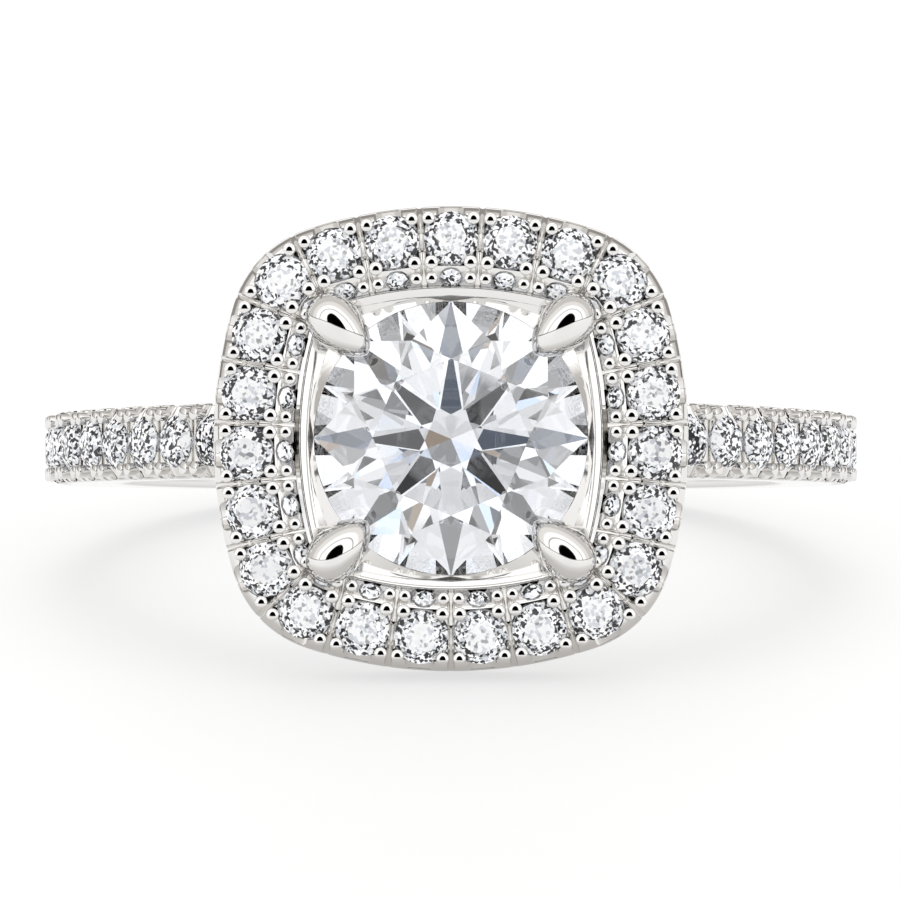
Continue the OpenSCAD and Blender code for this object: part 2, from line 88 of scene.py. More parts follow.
def put(tree, kind, settings, sockets):
    """A new node, its settings made first, then the values or links of its sockets."""
    made = tree.nodes.new(kind)
    for key, value in settings.items():
        setattr(made, key, value)
    for key, value in sockets.items():
        if isinstance(value, Signal):
            value = value.socket
        if isinstance(value, bpy.types.NodeSocket):
            tree.links.new(value, made.inputs[key])
        else:
            made.inputs[key].default_value = value
    return made


def reckoned(tree, operation, *terms):
    sockets = dict(enumerate(terms))
    return Signal(tree, put(tree, "ShaderNodeMath", {"operation": operation}, sockets).outputs[0])


def noise(tree, vector, scale, detail=2.0):
    sockets = {"Vector": vector, "Scale": scale, "Detail": detail}
    return Signal(tree, put(tree, "ShaderNodeTexNoise", {}, sockets).outputs[0])


def colour_between(tree, share, a, b):
    sockets = {"Factor": share, "A": (*a, 1) if isinstance(a, tuple) else a, "B": (*b, 1)}
    return put(tree, "ShaderNodeMix", {"data_type": "RGBA"}, sockets).outputs["Result"]


def new_material(name):
    made = bpy.data.materials.new(name)
    made.use_nodes = True
    made.node_tree.nodes.clear()
    return made, made.node_tree


# Polished and plated white gold has fine polishing lines in its gloss and a barely uneven face.
gold_colour, lines_per_metre = (0.85, 0.84, 0.826), 4000.0
white_gold, tree = new_material("white_gold_polished")
place = put(tree, "ShaderNodeTexCoord", {}, {}).outputs["Object"]
drawn_out = put(tree, "ShaderNodeMapping", {}, {
    "Vector": place, "Scale": (lines_per_metre, lines_per_metre * 4, lines_per_metre)})
lines = noise(tree, drawn_out.outputs[0], 1.0, 3.0)
waves = noise(tree, place, lines_per_metre * 0.3)
uneven = put(tree, "ShaderNodeBump", {}, {"Strength": 0.12, "Distance": 2e-6, "Height": lines + waves * 2.0})
metal = put(tree, "ShaderNodeBsdfPrincipled", {}, {
    "Base Color": colour_between(tree, waves, gold_colour, tuple(c * 0.96 for c in gold_colour)),
    "Metallic": 1.0, "Roughness": 0.02 + lines * 0.05 + waves * 0.03, "Normal": uneven.outputs[0]})
put(tree, "ShaderNodeOutputMaterial", {}, {"Surface": metal.outputs[0]})


class Cushion:
    """A cushion outline of four bulging sides and four corner arcs that meet without a kink."""

    def __init__(self, w, h, side_r, corner_r):
        self.p, self.q, self.side_r, self.corner_r = side_r - w / 2, side_r - h / 2, side_r, corner_r
        span = math.hypot(self.p, self.q)
        reach = math.sqrt((side_r - corner_r) ** 2 - span * span / 4)
        self.c = Vector((-self.p / 2 + reach * self.q / span, -self.q / 2 + reach * self.p / span))
        self.turns = (math.atan2(self.c.x, self.c.y + self.q),
                      math.pi / 2 - math.atan2(self.c.y, self.c.x + self.p))

    def point(self, t, inset):
        """The point where the outline, set in, faces a bearing from the top."""
        t %= 2 * math.pi
        half = t if t < math.pi else 2 * math.pi - t
        f = half if half < math.pi / 2 else math.pi - half
        way = Vector((math.sin(f), math.cos(f)))
        if f < self.turns[0]:
            spot = Vector((0, -self.q)) + (self.side_r - inset) * way
        elif f < self.turns[1]:
            spot = self.c + (self.corner_r - inset) * way
        else:
            spot = Vector((-self.p, 0)) + (self.side_r - inset) * way
        return Vector((spot.x * (1 if t < math.pi else -1), spot.y * (1 if half < math.pi / 2 else -1)))

    def arcs(self, inset):
        """Lengths along the outline from the top to the ends of a quarter's three arcs."""
        a = (self.side_r - inset) * self.turns[0]
        b = a + (self.corner_r - inset) * (self.turns[1] - self.turns[0])
        return a, b, b + (self.side_r - inset) * (math.pi / 2 - self.turns[1])

    def bearing(self, inset, length):
        """The bearing that the outline faces at a length from the top."""
        a, b, quarter = self.arcs(inset)
        turn, along = divmod(length, quarter)
        s = along if turn % 2 == 0 else quarter - along
        if s < a:
            t = s / a * self.turns[0]
        elif s < b:
            t = self.turns[0] + (s - a) / (b - a) * (self.turns[1] - self.turns[0])
        else:
            t = self.turns[1] + (s - b) / (quarter - b) * (math.pi / 2 - self.turns[1])
        return (t, math.pi - t, math.pi + t, 2 * math.pi - t)[int(turn) % 4]


halo = Cushion(halo_w, halo_h, halo_side_r, halo_corner_r)
row_pitch = 4 * halo.arcs(row_inset)[2] / halo_stones

# Pieces are made in millimetres with the head up Z, and are then laid down in metres: the ring lies on its
# side, on the halo's lower back edge and the lower edge of the band's back.
rest_tilt = math.atan2((halo_h - band_w) / 2, halo_z - halo_t + band_r - band_edge)
rest_lift = band_w / 2 * math.cos(rest_tilt) + (band_r - band_edge) * math.sin(rest_tilt)
front_reach = halo_z * math.cos(rest_tilt) + (halo_h / 2 - halo_edge) * math.sin(rest_tilt)
back_reach = band_r * math.cos(rest_tilt) + (band_w / 2 - band_edge) * math.sin(rest_tilt)
lying = (Matrix.Scale(0.001, 4) @ Matrix.Translation((0, (front_reach - back_reach) / 2, rest_lift))
         @ Matrix.Rotation(math.pi / 2 - rest_tilt, 4, "X"))


def mesh_object(name, points, faces):
    mesh = bpy.data.meshes.new(name)
    mesh.from_pydata([tuple(p) for p in points], [], faces)
    made = bpy.data.objects.new(name, mesh)
    bpy.context.scene.collection.objects.link(made)
    return made


def outward(made):
    """Merges doubled points and turns the faces outward."""
    bm = bmesh.new()
    bm.from_mesh(made.data)
    bmesh.ops.remove_doubles(bm, verts=bm.verts, dist=1e-6)
    bmesh.ops.recalc_face_normals(bm, faces=bm.faces)
    bm.to_mesh(made.data)
    bm.free()


def swept(name, rings, closed):
    """A solid through rings of the same number of points."""
    n = len(rings[0])
    faces = []
    for j in range(len(rings) if closed else len(rings) - 1):
        a, b = j * n, (j + 1) % len(rings) * n
        faces += [(a + k, a + (k + 1) % n, b + (k + 1) % n, b + k) for k in range(n)]
    if not closed:
        faces += [tuple(range(n)), tuple((len(rings) - 1) * n + k for k in reversed(range(n)))]
    made = mesh_object(name, [p for ring in rings for p in ring], faces)
    outward(made)
    return made


def turned(name, profile, sides):
    """A solid turned on the Z axis from (radius, height) points, the first and last of them on the axis."""
    points, faces, rings = [], [], []
    for r, z in profile:
        if r == 0:
            rings.append([len(points)])
            points.append((0, 0, z))
        else:
            rings.append([len(points) + i for i in range(sides)])
            points += [(r * math.cos(2 * math.pi * i / sides), r * math.sin(2 * math.pi * i / sides), z)
                       for i in range(sides)]
    for a, b in zip(rings, rings[1:]):
        for i in range(sides):
            quad = (a[i % len(a)], a[(i + 1) % len(a)], b[(i + 1) % len(b)], b[i % len(b)])
            faces.append(tuple(dict.fromkeys(quad)))
    made = mesh_object(name, points, faces)
    outward(made)
    return made


def rod(name, r, low, high, sides):
    """A round bar or drill along the Z axis."""
    return turned(name, [(0, low), (r, low), (r, high), (0, high)], sides)


def rounded(corners, radii, steps):
    """The corners of a section with each one rounded off."""
    out = []
    for i, corner in enumerate(corners):
        c, a, b = Vector(corner), Vector(corners[i - 1]), Vector(corners[(i + 1) % len(corners)])
        cut = min(radii[i], (a - c).length * 0.45, (b - c).length * 0.45)
        start, end = c + (a - c).normalized() * cut, c + (b - c).normalized() * cut
        for k in range(steps + 1):
            t = k / steps
            out.append((start * (1 - t) + c * t) * (1 - t) + (c * (1 - t) + end * t) * t)
    return out


# The halo's section, as (outward from the stone row, height) points
rim_u = row_inset - halo_edge
rim_z = -rim_u * math.tan(halo_lean)
wall_z = rim_z - 1.6 * halo_edge
crest_u = halo_stone_d / 2 + crest_rim
crest_z = crest_u * math.tan(halo_lean)
foot_u = crest_u + inner_wall_w
foot_z = crest_z - inner_wall_w * math.tan(inner_slope)
wall_ease = 0.042
corner_roundings = [0.12, 0.22, 0.12, 0.12, 0.06, 0.12]
halo_section = rounded([
    (row_inset, -halo_t), (row_inset, wall_z), (rim_u, rim_z), (-crest_u, crest_z - wall_ease),
    (-foot_u, foot_z + wall_ease), (-foot_u, -halo_t)], corner_roundings, 5)
halo_steps = halo_stones * 10
halo_rings = []
for j in range(halo_steps):
    t = halo.bearing(row_inset, j * row_pitch * halo_stones / halo_steps)
    halo_rings.append([(*halo.point(t, row_inset - u), halo_z + z) for u, z in halo_section])
halo_frame = swept("halo_frame", halo_rings, True)


def on_row(length):
    """Place on the halo's stone row: X points outward, Z up."""
    t = halo.bearing(row_inset, length)
    return Matrix.Translation((*halo.point(t, row_inset), halo_z)) @ Matrix.Rotation(math.pi / 2 - t, 4, "Z")


def places(name, matrices):
    """Points that carry the turn of what is put on them."""
    made = mesh_object(name, [m.translation for m in matrices], [])
    turn = made.data.attributes.new("turn", "QUATERNION", "POINT")
    turn.data.foreach_set("value", [v for m in matrices for v in m.to_quaternion()])
    made.hide_render = True
    return made


def girdle(d):
    return girdle_share * d / 2


def table_r(d):
    return table_share * d / 2


def table_z(d):
    return girdle(d) + (d / 2 - table_r(d)) * math.tan(crown_slope)


def culet_z(d):
    return -girdle(d) - d / 2 * math.tan(pavilion_slope)


def lower_facets(d):
    """Radius and height of the points that the lower pavilion facets reach down to."""
    r = (1 - lower_facet_share) * d / 2
    return r, culet_z(d) + r * math.cos(math.pi / 8) * math.tan(pavilion_slope)


def seat_tip_z(d):
    r, z = lower_facets(d)
    return z - r * (-girdle(d) - z) / (d / 2 - r) - stone_gap


def seat(d, sides):
    """The room of a stone with the gap round it, open upward."""
    wide, narrow, top = d / 2 + stone_gap, table_r(d) + stone_gap, table_z(d) + 0.6
    return turned("seat", [
        (0, seat_tip_z(d)), (wide, -girdle(d) - stone_gap), (wide, girdle(d) + stone_gap),
        (narrow, table_z(d) + stone_gap), (narrow, top), (0, top)], sides)


def new_tree(name):
    """A geometry tree that is given a piece, places on it, the tool for them and the finish."""
    tree = bpy.data.node_groups.new(name, "GeometryNodeTree")
    for label, kind in (("Geometry", "NodeSocketGeometry"), ("Places", "NodeSocketObject"),
                        ("Tool", "NodeSocketObject"), ("Finish", "NodeSocketMaterial")):
        tree.interface.new_socket(name=label, in_out="INPUT", socket_type=kind)
    tree.interface.new_socket(name="Geometry", in_out="OUTPUT", socket_type="NodeSocketGeometry")
    return tree, put(tree, "NodeGroupInput", {}, {}).outputs


def put_on_places(tree, into):
    """The instances of the tool on every place, turned as the place says."""
    spots = put(tree, "GeometryNodeObjectInfo", {}, {"Object": into["Places"]}).outputs["Geometry"]
    shape = put(tree, "GeometryNodeObjectInfo", {}, {"Object": into["Tool"]}).outputs["Geometry"]
    points = put(tree, "GeometryNodeMeshToPoints", {}, {"Mesh": spots}).outputs[0]
    turn = put(tree, "GeometryNodeInputNamedAttribute", {"data_type": "QUATERNION"}, {"Name": "turn"})
    return put(tree, "GeometryNodeInstanceOnPoints", {},
               {"Points": points, "Instance": shape, "Rotation": turn.outputs["Attribute"]}).outputs[0]


def end_tree(tree, into, geometry):
    done = put(tree, "GeometryNodeSetMaterial", {}, {"Geometry": geometry, "Material": into["Finish"]})
    put(tree, "NodeGroupOutput", {}, {"Geometry": done.outputs[0]})
    return tree


def cutting_tree():
    """Cuts a tool out of a piece at every place."""
    tree, into = new_tree("cut_at_places")
    cut = put(tree, "GeometryNodeMeshBoolean", {"operation": "DIFFERENCE", "solver": "MANIFOLD"},
              {"Mesh 1": into["Geometry"], "Mesh 2": put_on_places(tree, into)})
    real = put(tree, "GeometryNodeRealizeInstances", {}, {"Geometry": cut.outputs["Mesh"]})
    return end_tree(tree, into, real.outputs[0])


cut_at_places = cutting_tree()


def let_in(piece, tree, at, tool):
    """Runs a tree of places and a tool on a metal piece, as a modifier."""
    step = piece.modifiers.new(tree.name, "NODES")
    step.node_group = tree
    values = {"Places": at, "Tool": tool, "Finish": white_gold}
    for item in tree.interface.items_tree:
        if item.in_out == "INPUT" and item.name in values:
            step[item.identifier] = values[item.name]


def settle(piece, name):
    """Makes the modifiers' result the piece's own mesh."""
    seen = piece.evaluated_get(bpy.context.evaluated_depsgraph_get())
    mesh = bpy.data.meshes.new_from_object(seen)
    piece.modifiers.clear()
    piece.data = mesh
    piece.name = mesh.name = name


def drop(*tools):
    for tool in tools:
        bpy.data.objects.remove(tool)


def arc_below(x, r, low, steps):
    """A half circle with its lowest point at a height, across the way of a cutter."""
    return [(x, -r * math.cos(math.pi * k / steps), low + r - r * math.sin(math.pi * k / steps))
            for k in range(steps + 1)]


tool_top = 1.0
groove_w, groove_depth = 0.17, 0.22


def saw_groove(name, path):
    """A cutter with a round bottom that follows (x, z) points and is open upward."""
    r = groove_w / 2
    return swept(name, [[(x, -r, tool_top)] + arc_below(x, r, low, 10) + [(x, r, tool_top)]
                        for x, low in path], False)


scallop_w, scallop_h, scallop_in = 0.76, 0.44, 0.2
scallop_fall = math.tan(math.radians(27))
scallop_lip, lip_z = 0.05, -0.43
scallop_top = 1.2


def filed_scallop(name, edge, wall):
    """A round-bottomed cut that runs down and out below a stone and leaves a thin lip at the wall."""
    r = scallop_w / 2
    start, lip = edge - scallop_in, wall - scallop_lip
    path = [(start, (wall + scallop_in - edge) * scallop_fall - scallop_h), (lip, -scallop_h),
            (lip + 0.01, lip_z), (wall + 0.5, lip_z - 0.4)]
    return swept(name, [arc_below(x, r, low, 16) + [(x, r, scallop_top), (x, -r, scallop_top)]
                        for x, low in path], False)


halo_spots = [on_row(i * row_pitch) for i in range(halo_stones)]
groove_spots = [on_row((i + 0.5) * row_pitch) for i in range(halo_stones)]
lean_out = Matrix.Rotation(halo_lean, 4, "Y")
inner_u = crest_u + inner_wall_w / 2
inner_z = crest_z - (inner_u - crest_u) * math.tan(inner_slope)
lean_in = Matrix.Translation((-inner_u, 0, inner_z)) @ Matrix.Rotation(-inner_slope, 4, "Y")

# The groove runs up the outer wall, dips under the girdles of its two stones, and goes down the inner wall.
over_wall = 0.3
scallop = filed_scallop("scallop", halo_stone_d / 2, row_inset)
groove = saw_groove("groove", [
    (row_inset + over_wall, -halo_t * 0.55), (row_inset - 0.02, -halo_t * 0.5),
    (rim_u - groove_depth * 0.6, rim_z - groove_depth),
    (0.26, -0.22), (0.16, -0.4), (-0.2, -0.34), (-0.3, -0.14),
    (-crest_u + groove_depth * 0.4, crest_z - groove_depth), (-foot_u - 0.02, foot_z - groove_depth * 0.3),
    (-foot_u - over_wall, foot_z - groove_depth * 0.3)])
foot_notch_r, foot_notch_in, foot_notch_low = 0.26, 0.15, -0.6
foot_notch = rod("foot_notch", foot_notch_r, foot_notch_low, tool_top, 24)
main_seat = seat(halo_stone_d, 40)
small_seat = seat(inner_stone_d, 24)
at_foot = Matrix.Translation((foot_notch_in - foot_notch_r - foot_u, 0, foot_z))
tool_places = [
    places("scallop_places", halo_spots), places("groove_places", groove_spots),
    places("seat_places", [m @ lean_out for m in halo_spots]),
    places("small_seat_places", [m @ lean_in for m in halo_spots]),
    places("notch_places", [m @ at_foot for m in halo_spots])]
tools = (scallop, groove, main_seat, small_seat, foot_notch)
for at, tool in zip(tool_places, tools):
    let_in(halo_frame, cut_at_places, at, tool)
settle(halo_frame, "halo_frame")
drop(*tools, *tool_places)


def finish_metal(piece, edge_degrees=32):
    """Lays a metal piece down in the row's frame, soldered to the setting, with crisp edges."""
    piece.data.transform(lying)
    piece.data.shade_smooth()
    piece.data.set_sharp_from_angle(angle=math.radians(edge_degrees))
    piece.data.materials.clear()
    piece.data.materials.append(white_gold)
    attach(piece, "root")


finish_metal(halo_frame)
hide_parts("setting")

# Band
# The band is drawn and rolled white gold, rounded at its edges. It flares into two cathedral shoulders that
# are soldered to the halo's underside, and a thinner bridge closes the finger hole under the head.
shoulder_angle = 70
shoulder_top = Vector((5.0, halo_z - halo_t))
shoulder_tuck = 1.3
shoulder_t, bridge_t = 1.3, 1.2
thinning = 6
bore_edge, bridge_edge, bridge_in = 0.16, 0.15, 0.01
bridge_reach = 74
first_stone_facing = 46.4
side_stones, side_stone_d, side_stone_gap = 9, 1.28, 0.13


def facing(degrees):
    return Vector((math.sin(math.radians(degrees)), math.cos(math.radians(degrees))))


# Each shoulder is one arc that leaves the band without a kink and ends at the halo.
shoulder_back = ((shoulder_top.length_squared - band_r ** 2)
                 / (2 * (band_r - shoulder_top.dot(facing(shoulder_angle)))))
shoulder_centre = -shoulder_back * facing(shoulder_angle)
shoulder_r = band_r + shoulder_back
end_x, end_y = shoulder_top.x - shoulder_centre.x, shoulder_top.y - shoulder_centre.y
shoulder_end = math.degrees(math.atan2(end_x, end_y)) - shoulder_tuck


def shoulder_point(a):
    return shoulder_centre + shoulder_r * facing(a) if a < shoulder_angle else band_r * facing(a)


def bridge_point(a):
    return (bore_r + bridge_t) * facing(a)


def band_ring(a, thick, outer_at, half_w, outer_edge):
    """The section at a bearing in degrees, its outer face on a curve and its thickness inward."""
    section = rounded([(0, -half_w), (thick, -half_w), (thick, half_w), (0, half_w)],
                      [outer_edge, bore_edge, bore_edge, outer_edge], 5)
    side, f = (1, a) if a < 180 else (-1, 360 - a)
    spot, way = outer_at(f), facing(f)
    return [(side * (spot.x - d * way.x), y, spot.y - d * way.y) for d, y in section]


band_steps, bridge_steps = 220, 60
rings = []
for j in range(band_steps + 1):
    a = shoulder_end + (360 - 2 * shoulder_end) * j / band_steps
    full = min(1, max(0, (min(a, 360 - a) - shoulder_angle + thinning) / thinning))
    thick = shoulder_t + (band_t - shoulder_t) * full
    rings.append(band_ring(a, thick, shoulder_point, band_w / 2, band_edge))
band = swept("band", rings, False)
bearings = [-bridge_reach + 2 * bridge_reach * k / bridge_steps for k in range(bridge_steps + 1)]
bridge = swept("bridge", [band_ring(a % 360, bridge_t, bridge_point, band_w / 2 - bridge_in, bridge_edge)
                          for a in bearings], False)


def joined(piece, other, operation):
    """Solders another solid to a piece, or cuts it away."""
    step = piece.modifiers.new(operation, "BOOLEAN")
    step.operation, step.solver, step.object = operation, "MANIFOLD", other
    settle(piece, piece.name)
    drop(other)


joined(band, bridge, "UNION")

# The bridge is drilled and countersunk under the centre stone's point.
centre_d, centre_z = 6.5, 11.7
culet_hole_d = 1.1


def centre_room(sides):
    """The room of the centre stone, in its place."""
    room = seat(centre_d, sides)
    room.data.transform(Matrix.Translation((0, 0, centre_z)))
    return room


joined(band, centre_room(96), "DIFFERENCE")
joined(band, rod("culet_hole", culet_hole_d / 2, bore_r - 1, centre_z, 48), "DIFFERENCE")

# The shoulders' stones follow from the halo outward, past the end of the shoulder's arc onto the round band.
side_pitch = side_stone_d + side_stone_gap
shoulder_run = shoulder_r * math.radians(shoulder_angle - first_stone_facing)


def on_shoulder(place, side):
    """Place on a shoulder, 0 being its first stone: Z points out of the band, X down it."""
    left = shoulder_run - place * side_pitch
    a = shoulder_angle - math.degrees(left / (shoulder_r if left > 0 else band_r))
    spot = shoulder_point(a)
    if side < 0:
        return Matrix.Rotation(math.pi, 4, "Z") @ on_shoulder(place, 1)
    return Matrix.Translation((spot.x, 0, spot.y)) @ Matrix.Rotation(math.radians(a), 4, "Y")


side_spots = [on_shoulder(i, side) for side in (1, -1) for i in range(side_stones)]
side_groove_spots = [on_shoulder(i + 0.5, side) for side in (1, -1) for i in range(side_stones)]
half = band_w / 2
side_scallop = filed_scallop("side_scallop", side_stone_d / 2, half)
side_groove = saw_groove("side_groove", [
    (-half - over_wall, -half / 2), (-half - 0.02, -half / 2), (-half + groove_depth, -groove_depth),
    (half - groove_depth, -groove_depth), (half + 0.02, -half / 2), (half + over_wall, -half / 2)])
side_seat = seat(side_stone_d, 40)
quarter = Matrix.Rotation(math.pi / 2, 4, "Z")
tool_places = [
    places("side_scallop_places", [m @ q for q in (quarter, quarter.inverted()) for m in side_spots]),
    places("side_groove_places", [m @ quarter for m in side_groove_spots]),
    places("side_seat_places", side_spots)]
tools = (side_scallop, side_groove, side_seat)
for at, tool in zip(tool_places, tools):
    let_in(band, cut_at_places, at, tool)
settle(band, "band")
drop(*tools, *tool_places)
finish_metal(band)

# Grain setting
# The grains are raised from the halo's and the shoulders' own metal with a graver and rounded with a beading
# tool, two beside every groove at the outer rim and two at the crest, with smaller ones on the inner slope.
bead_d, small_bead_d, bead_side, bead_lift = 0.31, 0.29, 0.2, 0.05


def grain(name, d, column):
    """A column with a flattened cap and a rounded edge."""
    r = d / 2
    cap_r, cap_edge = 2.3 * r, math.radians(21.4)
    edge_r = (r - cap_r * math.sin(cap_edge)) / (1 - math.sin(cap_edge))
    edge_top = r - cap_r * (1 - math.cos(cap_edge))
    dome = []
    for k in range(6):
        tilt = math.pi / 2 - (math.pi / 2 - cap_edge) * k / 5
        height = edge_top + edge_r * (math.cos(tilt) - math.cos(cap_edge))
        dome.append((r - edge_r + edge_r * math.sin(tilt), height))
    for k in range(1, 4):
        tilt = cap_edge * (1 - k / 4)
        dome.append((cap_r * math.sin(tilt), r - cap_r * (1 - math.cos(tilt))))
    return turned(name, [(0, -column), (r * 0.8, -column), (r, -r * 0.4)] + dome + [(0, r)], 22)


def raising_tree():
    """Raises a grain at every place and adds it to the piece."""
    tree, into = new_tree("raise_grains")
    real = put(tree, "GeometryNodeRealizeInstances", {}, {"Geometry": put_on_places(tree, into)})
    both = put(tree, "GeometryNodeJoinGeometry", {}, {"Geometry": real.outputs[0]})
    tree.links.new(into["Geometry"], both.inputs[0])
    return end_tree(tree, into, both.outputs[0])


raise_grains = raising_tree()


def beside_grooves(name, x, y, z):
    """Places on both sides of every groove of the halo."""
    return places(name, [m @ Matrix.Translation((x, side * y, z)) for m in groove_spots for side in (-1, 1)])


rim_x, crest_x = rim_u - bead_d * 0.45, -halo_stone_d / 2 + bead_d * 0.25
grain_places = [
    beside_grooves("outer_at", rim_x, bead_side, -rim_x * math.tan(halo_lean) + bead_lift),
    beside_grooves("crest_at", crest_x, bead_side, -crest_x * math.tan(halo_lean) + bead_lift),
    beside_grooves("small_at", -inner_u - 0.02, bead_side * 0.9, inner_z + 0.09)]
crest_grain = grain("crest_grain", bead_d * 1.06, 0.3)
grains = (grain("outer_grain", bead_d, 0.75), crest_grain, grain("small_grain", small_bead_d, 0.4))
halo_grains = mesh_object("halo_grains", [], [])
for at, tool in zip(grain_places, grains):
    let_in(halo_grains, raise_grains, at, tool)
settle(halo_grains, "halo_grains")
finish_metal(halo_grains, 50)

edge_y = (half + side_stone_d / 2) / 2 - bead_d * 0.35
side_at = places("side_at", [m @ Matrix.Translation((x * bead_side, y * edge_y, bead_lift))
                             for m in side_groove_spots for x in (-1, 1) for y in (-1, 1)])
shoulder_grains = mesh_object("shoulder_grains", [], [])
let_in(shoulder_grains, raise_grains, side_at, crest_grain)
settle(shoulder_grains, "shoulder_grains")
finish_metal(shoulder_grains, 50)
drop(*grains, *grain_places, side_at)

# Basket
# The centre stone sits in a polished rail of the halo's shape with a round seat. Four posts rise from a foot
# ring on the bridge and end in egg-shaped claws, filed and polished, that press on the stone's crown.
rail_w, rail_side_r, rail_corner_r = 7.26, 9.5, 1.0
rail_rise, rail_deep, rail_inside_slope = 0.03, 0.9, 0.4
seat_land, seat_lip = 0.02, 0.2
claw_w, claw_l, claw_tip, claw_lift, claw_belly = 1.22, 1.84, 2.8, 0.5, 0.6
post_d, foot_ring_d, foot_ring_wall, foot_ring_t, foot_ring_rise = 0.8, 4.4, 1.0, 0.95, 0.1
rail = Cushion(rail_w, rail_w, rail_side_r, rail_corner_r)
rail_top = centre_z + rail_rise
girdle_seat = Vector((centre_d / 2 + seat_land, centre_z - girdle(centre_d) - stone_gap))

# The rail's outer wall, softly rounded rim and inner step, as (inset, height) points
rail_profile = [(0, -rail_deep), (0, -0.7), (0, -0.1), (0.006, -0.04), (0.02, -0.01), (0.04, 0),
                (0.06, -0.004), (0.12, -0.027), (0.18, -0.05), (0.235, -0.08), (0.245, -0.2)]
step_inset, step_z = rail_profile[-1]
rail_steps = 200
rings = []
for j in range(rail_steps):
    t = 2 * math.pi * j / rail_steps
    ring = [(*rail.point(t, inset), rail_top + z) for inset, z in rail_profile]
    step = rail.point(t, step_inset)
    run = step.length - girdle_seat.x
    fall = rail_top + step_z - girdle_seat.y
    low = max(0.01, min(run, (run + fall / rail_inside_slope) / 2))
    ring.append((*step * (1 - low / step.length), rail_top + step_z - low * rail_inside_slope))
    ring.append((*step.normalized() * girdle_seat.x, girdle_seat.y))
    ring.append((*step.normalized() * (centre_d / 2 - seat_lip), girdle_seat.y - seat_lip))
    ring.append((*step.normalized() * (centre_d / 2 - seat_lip), rail_top - rail_deep))
    rings.append(ring)
centre_rail = swept("centre_rail", rings, True)
finish_metal(centre_rail, 40)


def claw_r(u):
    """The claw's radius at a share of its length: a pointed front, a full back."""
    if u < claw_belly:
        return claw_w / 2 * max(0, 1 - ((claw_belly - u) / claw_belly) ** 2) ** 0.66
    return claw_w / 2 * max(0, 1 - ((u - claw_belly) / (1 - claw_belly)) ** 2.3) ** 0.47


claw_z = centre_z + claw_lift
post_top = Vector((claw_tip + claw_l * claw_belly, 0, claw_z))
foot_top = bore_r + bridge_t + foot_ring_rise
post_foot = Vector(((foot_ring_d - foot_ring_wall) / 2, 0, foot_top - foot_ring_t / 2))
post_lean = Vector((0, 0, 1)).rotation_difference(post_top - post_foot).to_matrix().to_4x4()
claw_steps = 40
shares = [(1 - math.cos(math.pi * i / claw_steps)) / 2 for i in range(1, claw_steps)]
claw_profile = [(0, 0)] + [(claw_r(u), u * claw_l) for u in shares] + [(0, claw_l)]
for quarter_turn in range(4):
    claw = turned("claw", claw_profile, 64)
    claw.data.transform(Matrix.Translation((claw_tip, 0, claw_z)) @ Matrix.Rotation(math.pi / 2, 4, "Y"))
    post = rod("post", post_d / 2, 0, (post_top - post_foot).length, 40)
    post.data.transform(Matrix.Translation(post_foot) @ post_lean)
    joined(claw, post, "UNION")
    joined(claw, centre_room(128), "DIFFERENCE")
    claw.data.transform(Matrix.Rotation(math.radians(45 + 90 * quarter_turn), 4, "Z"))
    claw.name = claw.data.name = f"claw_{quarter_turn + 1}"
    finish_metal(claw, 40)

wall_in, wall_out = foot_ring_d / 2 - foot_ring_wall, foot_ring_d / 2
ring_low, ring_steps = foot_top - foot_ring_t, 96
ring_section = rounded([(wall_in, ring_low), (wall_out, ring_low), (wall_out, foot_top), (wall_in, foot_top)],
                       [0.08] * 4, 4)
rings = []
for j in range(ring_steps):
    t = 2 * math.pi * j / ring_steps
    rings.append([(r * math.cos(t), r * math.sin(t), z) for r, z in ring_section])
foot_ring = swept("foot_ring", rings, True)
finish_metal(foot_ring, 40)

# Stones
# Colourless diamonds: a one carat round brilliant in the claws, small brilliants in the halo and the
# shoulders, and single cuts in the halo's inner wall. The facets are flat and sharp, and polished clear.


def clear_stone(tree):
    sockets = {"Color": (0.985, 0.99, 1, 1), "Roughness": 0.0, "IOR": 2.417}
    return put(tree, "ShaderNodeBsdfGlass", {}, sockets).outputs[0]


def mixed_shader(tree, share, a, b):
    return put(tree, "ShaderNodeMixShader", {}, {0: share, 1: a, 2: b}).outputs[0]


diamond, tree = new_material("diamond")
put(tree, "ShaderNodeOutputMaterial", {}, {"Surface": clear_stone(tree)})
head_axis = (lying.to_3x3() @ Vector((0, 0, 1))).normalized()
cells_per_metre = 13000.0
crown_level, table_level = 0.15, 0.955


